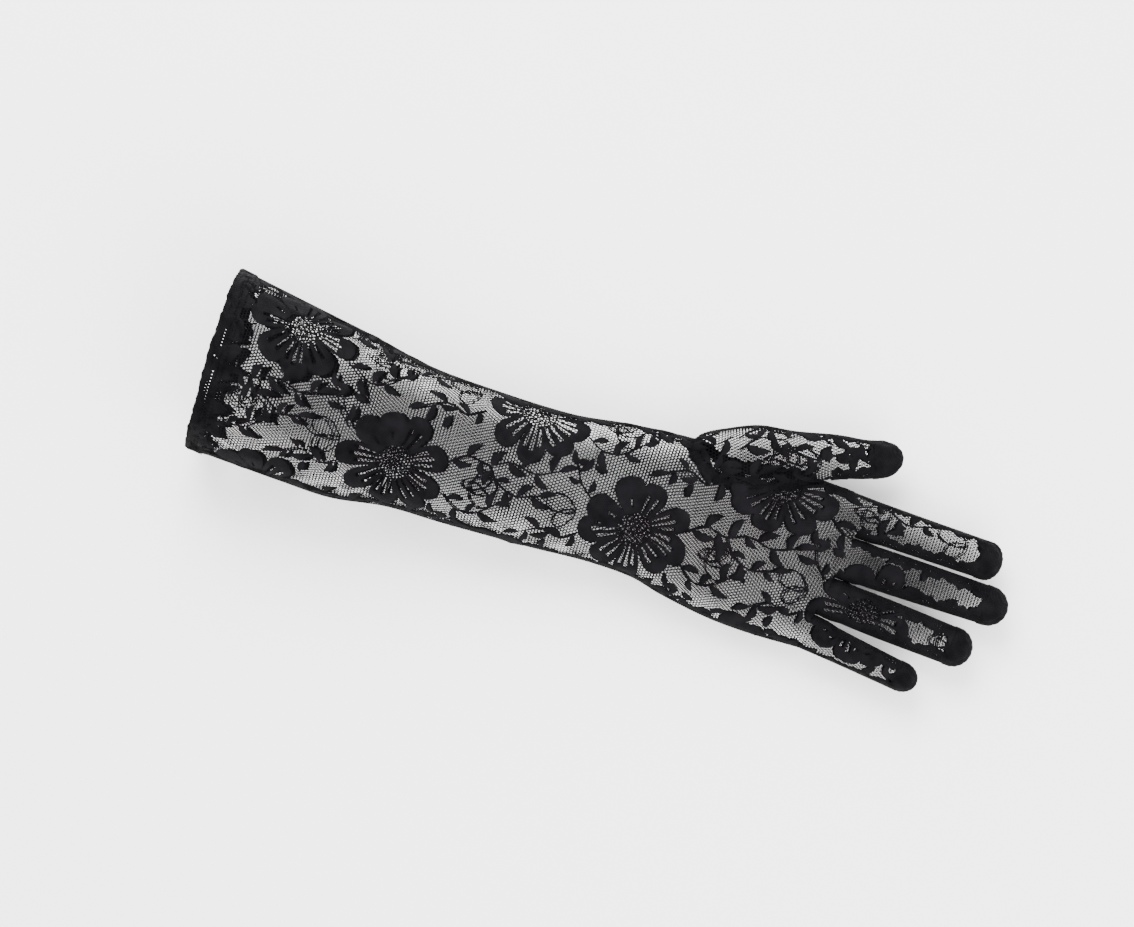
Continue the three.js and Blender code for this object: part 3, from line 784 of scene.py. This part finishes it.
side_seam("sleeve_thumb_side", arm_sides[0], HEM - 1, SPLIT, ACROSS_WRIST, WRIST_BLEND)
side_seam("sleeve_little_side", arm_sides[1], HEM - 1, SPLIT, ACROSS_WRIST, WRIST_BLEND)
side_seam("hand_wrist_side", arm_sides[0], SPLIT, hole_start + 1.5)
side_seam("hand_index_side", arm_sides[0], hole_end - 2, KNUCKLES_X + 0.5)
side_seam("hand_little_side", arm_sides[1], SPLIT, KNUCKLES_X + 0.5)


# ---- Closed rings: hem and fingertips ----
def closed_ring(cloth, rows, outset, tile=0):
    """Adds rows of ring points (rows, columns, 3), pushed out of their own surface by outset."""
    n_rows, n = rows.shape[:2]
    around = np.roll(rows, -1, 1) - np.roll(rows, 1, 1)
    along = np.gradient(rows, axis=0)
    points = rows + unit(np.cross(around, along)) * outset[..., None]
    points[..., 2] = np.maximum(points[..., 2], -0.4)
    i, j = np.meshgrid(np.arange(n_rows - 1), np.arange(n), indexing="ij")
    a, b = i * n + j, i * n + (j + 1) % n
    quads = np.stack([a, b, b + n, a + n], -1).reshape(-1, 4)
    flat = np.stack(np.meshgrid(np.arange(n_rows), np.arange(n), indexing="ij"), -1).reshape(-1, 2)
    cloth.add(points.reshape(-1, 3), quads, flat + [TILE * tile, 0])


HEM_PROFILE = np.array([  # from the edge and outwards: the stitch line, round the edge, and the inside
    (9.4, -0.1), (9.0, 0.45), (8.4, 0.62), (7.7, 0.66), (7.2, 0.38), (6.7, 0.66), (6.0, 0.72), (5.2, 0.66),
    (4.4, 0.74), (3.6, 0.67), (2.8, 0.75), (2.2, 0.68), (1.7, 0.36), (1.2, 0.68), (0.6, 0.72), (0.1, 0.5),
    (-0.15, 0.0), (-0.1, -0.5), (0.3, -0.95), (1.5, -1.05), (4.0, -1.0), (7.0, -1.0), (8.2, -0.8)])
STITCH_LINE, ROLLED_EDGE = slice(2, 6), slice(10, 20)  # the profile's parts that are solid cloth
HEM_LAYERS = ((0.4, 0.5), (0.6, -0.75))  # the folded net's shrink and how far out each layer lies
HEM_CENTRE = 40  # the height that its outward direction is taken from


def hem_band():
    cloth = Cloth("hem_fold")
    angles = np.linspace(0, 2 * math.pi, 561)[:-1]
    inward, out = HEM_PROFILE[:, 0][:, None], HEM_PROFILE[:, 1][:, None]
    x = np.clip(HEM_PROFILE[:, 0], 0, None)
    rows = arm_ring(-SLEEVE + x, angles)
    wave = 0.5 * np.sin(3 * angles + 1) + 0.4 * np.sin(7 * angles) + 0.3 * np.sin(19 * angles + 2)
    wave = wave + 0.22 * np.sin(43 * angles) + 0.16 * np.sin(71 * angles + 1)
    rows[..., 0] += (HEM_PROFILE[:, 0] - x)[:, None] + wave[None, :] * 0.6
    stitch = 0.3 * np.abs(np.sin(angles * 75))[None, :] * np.exp(-((inward - 7.2) ** 2) / 0.18)
    stitch = stitch + 0.25 * np.abs(np.sin(angles * 90))[None, :] * np.exp(-((inward - 1.7) ** 2) / 0.18)
    lumps = np.sin(9 * angles) * np.sin(inward * 1.1 + 2 * np.sin(5 * angles))
    rib = (0.1 * np.sin(angles * 140) + 0.16 * lumps) * (out > 0.3)
    across = rows[..., 1] - follow(ARM, 3, -SLEEVE + x)[:, None]
    radial = np.stack([np.zeros_like(across), across, rows[..., 2] - HEM_CENTRE], -1)
    rows = rows + unit(radial) * (out + stitch + rib)[..., None]
    rows[..., 2] = np.maximum(rows[..., 2], -0.3)
    for tile, part in enumerate((STITCH_LINE, ROLLED_EDGE)):
        closed_ring(cloth, rows[part], np.zeros(rows[part].shape[:2]), tile)
    for tile, skin in enumerate((arm_front, arm_back)):
        inside = window(skin, 0.2, 0.2)

        def keep(c):
            return inside(c) & (c[:, 0] > 1.2) & (c[:, 0] < HEM)

        for layer, (shrink, height) in enumerate(HEM_LAYERS):
            net = lay_net(keep, (0, HEM + 1), PATTERN_V, shrink)
            cloth.lay(skin, net, (0.3, HEM + 1), None, height, 4 + 3 * tile + layer)
        cloth.lay(skin, arm_lace, (0.5, HEM + 0.5), window(skin, 0.5, 0.5), 0.72, 6 + 3 * tile)
    for tile, skin in enumerate(arm_sides):
        cloth.lay(skin, overlock(0.8, HEM + 0.5), EVERYWHERE, None, 0.55, 10 + tile)
    return finish_sheet(cloth, STITCH, "edge_seam", ["cuff_hem"], "forearm")


hem = hem_band()


# ---- Thumb hole: a gathered seam along the line where the thumb's ball meets the hand ----
GATHER_STEP = 0.55


def gathered_seam():
    line = np.vstack([hole_line, hole_line[:1]])
    length = np.concatenate([[0], np.cumsum(np.linalg.norm(np.diff(line, axis=0), axis=1))])
    count = int(length[-1] / GATHER_STEP)
    at = np.linspace(0, length[-1], count + 1)[:-1]
    line = np.stack([np.interp(at, length, line[:, k]) for k in range(3)], -1)
    for _ in range(14):
        line = 0.25 * np.roll(line, 1, 0) + 0.5 * line + 0.25 * np.roll(line, -1, 0)
    tangent = unit(np.roll(line, -1, 0) - np.roll(line, 1, 0))

    def slope(f):
        return unit(np.stack([f(line + d) - f(line - d) for d in np.eye(3) * 0.3], -1))

    out = slope(in_hand) + slope(in_thumb)
    out -= tangent * (out * tangent).sum(1, keepdims=True)
    out = unit(out)
    across = np.cross(out, tangent)
    run = np.arange(count) * GATHER_STEP
    fold = np.abs(np.sin(math.pi * run / 2.3 + 0.5 * np.sin(run * 0.31)))
    half = 2.9 * (1 + 0.16 * np.sin(run * 0.83) + 0.12 * fold)
    s = np.linspace(-1, 1, 11)
    crown = np.sqrt(np.clip(1 - s**2, 0, 1))
    twist = 0.12 * np.sin(run * 5.5)[:, None] * crown
    lift = 1.15 * crown[None, :] * (0.6 + 0.6 * fold[:, None]) + twist - 0.3
    points = line[:, None] + across[:, None] * (half[:, None] * s)[..., None] + out[:, None] * lift[..., None]
    points[..., 2] = np.maximum(points[..., 2], -0.2)
    i, j = np.meshgrid(np.arange(count), np.arange(10), indexing="ij")
    a, b = i * 11 + j, ((i + 1) % count) * 11 + j
    quads = np.stack([a, b, b + 1, a + 1], -1).reshape(-1, 4)
    cloth = Cloth("thumb_hole_gathers")
    cloth.add(points.reshape(-1, 3), quads, np.stack([np.repeat(run, 11), np.tile(s * 3, count)], -1))
    return finish_sheet(cloth, STITCH, "edge_seam", ["thumb_hole_seam"], "hand")


gathered_seam()


# ---- Thumb and fingers ----
def grid_area(rows):
    """The area of a grid of points, in mm2."""
    along, across = np.diff(rows, axis=0)[:, :-1], np.diff(rows, axis=1)[:-1]
    return float(np.linalg.norm(np.cross(along, across), axis=2).sum())


def add_cap(cloth, limb, first):
    """The dense closed fingertip. Returns its area."""
    at = np.concatenate([even(first, limb.round, 0.8), limb.round + limb.tip * np.linspace(0.04, 0.995, 16)])
    angles = np.linspace(0, 2 * math.pi, 81)[:-1]
    rows = limb.ring(at, angles)
    ragged = 1.1 * np.sin(angles * 5) + 0.7 * np.sin(angles * 11 + 1)
    rows[0] += (limb.middle(np.array([first - 1.0])) - limb.middle(np.array([first])))[0] * ragged[:, None]
    rib = 0.2 + 0.09 * np.sin(angles * 24)[None, :] * np.sin(at * 4)[:, None]
    rib = rib + 0.24 * np.sin(angles * 7 + 1)[None, :] * np.sin(at * 0.9)[:, None]
    rib[0] = -0.15
    closed_ring(cloth, rows, rib, 3)
    return grid_area(limb.ring(at, np.append(angles, 2 * math.pi)))


def tip_band(cloth, limb, first, half_thumb, half_other):
    """The seam that runs up one side of a finger, round its tip and down the other side."""
    lines = []
    at = even(first, limb.round, 0.45)
    s = np.linspace(-1, 1, 9)
    wide = max(half_thumb, half_other)
    b = float(limb.depth(np.array([limb.round]))[0]) / 2

    def side(at_one, half, other):
        share = np.abs(half * s) / (float(limb.depth(np.array([at_one]))[0]) / 2)
        angle = np.sign(s) * np.arcsin(np.clip(share, 0, 1) ** (ROUND / 2))
        angle = math.pi - angle if other else angle
        return np.array([limb.ring(np.array([at_one]), np.array([a]))[0, 0] for a in angle])

    for a in at:
        lines.append(side(a, half_thumb, False))
    for swing in np.linspace(0, math.pi, 34)[1:-1]:
        narrow = half_thumb if swing < math.pi / 2 else half_other
        half = narrow + (wide - narrow) * math.sin(swing)
        row = []
        for h in half * s:
            turn = math.asin(math.sqrt(max(1 - (h / b) ** 2, 0)) * math.sin(swing))
            share = min(abs(h) / (b * math.cos(turn)), 1.0)
            angle = math.copysign(math.asin(share ** (ROUND / 2)), h)
            angle = math.pi - angle if math.cos(swing) < 0 else angle
            row.append(limb.ring(np.array([limb.round + limb.tip * turn / QUARTER]), np.array([angle]))[0, 0])
        lines.append(np.array(row))
    for a in at[::-1]:
        lines.append(side(a, half_other, True))
    rows = np.array(lines)
    run = np.concatenate([[0], np.cumsum(np.linalg.norm(np.diff(rows[:, 4], axis=0), axis=1))])
    normal = normals(rows)
    middle = limb.middle(np.array([limb.round]))[0]
    way = np.sign((normal * (rows - middle)).sum(2).mean(1, keepdims=True))[..., None]
    crown = np.sqrt(np.clip(1 - s**2, 0, 1))
    loops = np.abs(np.sin(math.pi * (run[:, None] / 1.15 + 0.45 * s)))
    lift = 0.75 * (0.45 + 0.3 * crown + 0.4 * loops * (0.4 + 0.6 * crown)) - 0.3 * (1 - crown)
    rows = rows + normal * way * lift[..., None]
    uv = np.stack([np.repeat(run, len(s)), np.tile(s * 5, len(rows))], -1)
    cloth.add(rows.reshape(-1, 3), grid_quads(*rows.shape[:2]).reshape(-1, 4), uv)


BULGE = 0.44  # two fourchettes nearly touch near the crotch


def strip(cloth, skin, u0, u1, half, to_palm, tile, crotch=None, spread=0.0):
    """One side of a finger: a dense net between two stitched edges, wider and uneven on the palm side.
    spread is how much the gap to the next finger grows on this side in 1 mm. Returns area, width, length."""
    def palm_edge(u):
        return to_palm * (WRAP[half] + 0.9 * np.sin(0.43 * u + half) + 0.6 * np.sin(1.13 * u + 3 * half))

    def keep(c):
        v = to_palm * c[:, 1]
        return (v > -half - 0.4) & (v < to_palm * palm_edge(c[:, 0]) + 0.4) & (c[:, 0] >= u0) & (c[:, 0] < u1)

    reach = WRAP[half] + 4
    net = lay_net(keep, (u0, u1), (-reach, reach), 0.35)
    rise = 0.25
    if crotch is not None and half == WEB:
        past, v = net[0][:, 0] - crotch, net[0][:, 1]
        rise = rise + (BULGE + spread * past) * (1 - smooth(past, 7, 14)) * np.clip(1 - (v / 7) ** 2, 0, 1)
    cloth.lay(skin, net, EVERYWHERE, None, rise, 2 * tile)
    for v in (palm_edge, -to_palm * half):
        cloth.lay(skin, overlock(u0, u1, v, 1.5, 0.8, 1.05), EVERYWHERE, None, 0.15, 2 * tile + 1)
    return (half + WRAP[half]) * (u1 - u0), half + WRAP[half], u1 - u0


UNDER = 2.5  # how far a panel's lace runs under the strip on its palm side
CAP = {"index": 4.5}  # how far before the round tip the dense cap starts
USUAL_CAP = 3.5


def add_digit(limb, start, skins, lace, low, high, first, split, blends, spreads=(0, 0)):
    """The lace, side strips and tip of a finger or thumb. low and high: half widths of its two sides."""
    front, back, near, far = skins
    name = limb.name
    base, tip = f"{name}_base", f"{name}_tip"
    root_bodies, tip_bodies = ("hand", base), (base, tip)
    cap = limb.round - CAP.get(name, USUAL_CAP)
    margins = ((WRAP[low] - UNDER, WRAP[high] - UNDER), (low - 1, high - 1))
    pieces = ((f"{name}_root_lace", first, split, base, root_bodies, blends[0]),
              (f"{name}_tip_lace", split, cap + 1.2, tip, tip_bodies, blends[1]))
    for label, u0, u1, node, bodies, blend in pieces:
        cloth = Cloth(label)
        parts = [panel(cloth, skin, lace, start + u0, start + u1, *edges, None, tile)
                 for tile, (skin, edges) in enumerate(zip((front, back), margins))]
        finish_sheet(cloth, LACE, "floral_lace", [f"{node}_front", f"{node}_back"], bodies, blend)
    cloth = Cloth(f"{name}_root_sides")
    parts = [strip(cloth, near, start + first, start + split, high, 1, 0, start, spreads[0]),
             strip(cloth, far, start + first, start + split, low, -1, 1, start, spreads[1])]
    finish_sheet(cloth, DENSE, "fourchette_lace", [f"{base}_outer_strip", f"{base}_inner_strip"],
                 root_bodies, blends[0])
    cloth = Cloth(f"{name}_tip_sides")
    parts = [strip(cloth, near, start + split, start + cap + 1.5, high, 1, 0),
             strip(cloth, far, start + split, start + cap + 1.5, low, -1, 1)]
    tip_band(cloth, limb, cap + 1, high, low)
    cap_area, side_length = add_cap(cloth, limb, cap), parts[0][2]
    parts.append((cap_area, cap_area / side_length, side_length))
    finish_sheet(cloth, STITCH, "edge_seam", [f"{tip}_seam"], tip_bodies, blends[1])


def along_limb(limb, *places):
    return [tuple(p) for p in limb.middle(np.array(places, float))]


def widening(k, n):
    """How much the gap between two fingers grows on one side in 1 mm."""
    return abs(math.radians(FINGERS[k][4] - FINGERS[n][4])) / 2 if 0 <= n < 4 else 0


for k, limb in enumerate(fingers):
    v_at = [float(np.interp(ROOTS[k][0], skin.p[-1][:, 1], skin.v0 + skin.step * np.arange(skin.p.shape[1])))
            for skin in (arm_front, arm_back)]
    skins = limb_skins(limb, KNUCKLES_X, *v_at, 0.0)
    blends = along_limb(limb, 2.6, 13.2), along_limb(limb, limb.bend - 7, limb.bend + 7)
    add_digit(limb, KNUCKLES_X, skins, arm_lace, WEB if k < 3 else SEAM, WEB if k else SEAM,
              0.0, FINGER_HINGE, blends, (widening(k, k - 1), widening(k, k + 1)))

thumb_skins = limb_skins(thumb, CROTCH_X, THUMB_V, THUMB_V, THUMB[0, 0])
BALL_START, BALL_SEAM_START, BALL_END = CROTCH_X - 71, CROTCH_X - 62, CROTCH_X - THUMB_OVERLAP


def clear_of_hand(p):
    return in_hand(p) > 0.95


cloth = Cloth("thumb_ball_lace")
parts = [panel(cloth, skin, thumb_lace, BALL_START, BALL_END, EDGE, EDGE, clear_of_hand, tile)
         for tile, skin in enumerate(thumb_skins[:2])]
finish_sheet(cloth, LACE, "floral_lace", ["thumb_ball_front", "thumb_ball_back"], "hand")
side_seam("thumb_ball", thumb_skins[2], BALL_SEAM_START, BALL_END)
add_digit(thumb, CROTCH_X, thumb_skins, thumb_lace, WEB, SEAM, -THUMB_OVERLAP, THUMB_HINGE,
          (along_limb(thumb, -1.4, 7.0), along_limb(thumb, 8.0, 19.0)))


def crotch_webs():
    """The ends of the fourchettes, between each two fingers."""
    cloth = Cloth("finger_crotches")
    half = WEB + 0.6
    s = np.linspace(-1, 1, 11)
    t = np.linspace(0, 1, 7)
    for k in range(3):
        rows = []
        for limb, other in ((fingers[k], True), (fingers[k + 1], False)):
            angle = np.sign(s) * np.arcsin((np.abs(s) * half / (FINGER_DEPTH / 2)) ** (ROUND / 2))
            angle = math.pi - angle if other else angle
            rows.append(limb.ring(np.array([0.6]), angle)[0])
        grid = rows[0][None] * (1 - t)[:, None, None] + rows[1][None] * t[:, None, None]
        grid[..., 0] -= 1.1 * np.sin(t * math.pi)[:, None]
        uv = np.stack([np.repeat(t * 3, len(s)) + 10 * k, np.tile(s * 5, len(t))], -1)
        cloth.add(grid.reshape(-1, 3), grid_quads(len(t), len(s)).reshape(-1, 4), uv)
    finish_sheet(cloth, DENSE, "fourchette_lace", [], "hand")


crotch_webs()

# ---- Floor, light and camera, in metres ----
CAMERA_AT, CAMERA_TURN = (-0.0237, 0.0007, 2.757), 17.2  # straight above, turned by degrees
SKY = 2.6
FLOOR_HALF = 6.0
FLOOR_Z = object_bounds()[0].z - 0.0002  # just under the lowest thread


def add_object(name, data):
    thing = bpy.data.objects.new(name, data)
    bpy.context.scene.collection.objects.link(thing)
    return thing


corners = [(x * FLOOR_HALF, y * FLOOR_HALF, FLOOR_Z) for x, y in ((-1, -1), (1, -1), (1, 1), (-1, 1))]
floor_mesh = bpy.data.meshes.new("floor")
floor_mesh.from_pydata(corners, [], [(0, 1, 2, 3)])
floor = add_object("floor", floor_mesh)
paper = bpy.data.materials.new("white_paper")
paper.use_nodes = True
paper.node_tree.nodes["Principled BSDF"].inputs["Base Color"].default_value = (0.95, 0.95, 0.95, 1)
paper.node_tree.nodes["Principled BSDF"].inputs["Roughness"].default_value = 0.9
floor.data.materials.append(paper)

world = bpy.data.worlds.new("studio")
bpy.context.scene.world = world
world.use_nodes = True
world.node_tree.nodes["Background"].inputs["Color"].default_value = (1, 1, 1, 1)
world.node_tree.nodes["Background"].inputs["Strength"].default_value = SKY


def softbox(name, place, aim, size, power):
    light = bpy.data.lights.new(name, "AREA")
    light.shape, light.size, light.energy = "SQUARE", size, power
    obj = add_object(name, light)
    obj.location = place
    obj.rotation_euler = (Vector(aim) - Vector(place)).to_track_quat("-Z", "Y").to_euler()


softbox("key", (-0.5, 0.9, 1.3), (0, 0, 0), 1.0, 60)
softbox("fill", (0.8, -0.7, 1.1), (0, 0, 0), 1.2, 30)

camera = bpy.data.cameras.new("camera")
camera.lens, camera.sensor_width = 180, 36
camera_object = add_object("camera", camera)
camera_object.location = CAMERA_AT
camera_object.rotation_euler = (0, 0, math.radians(CAMERA_TURN))
bpy.context.scene.camera = camera_object
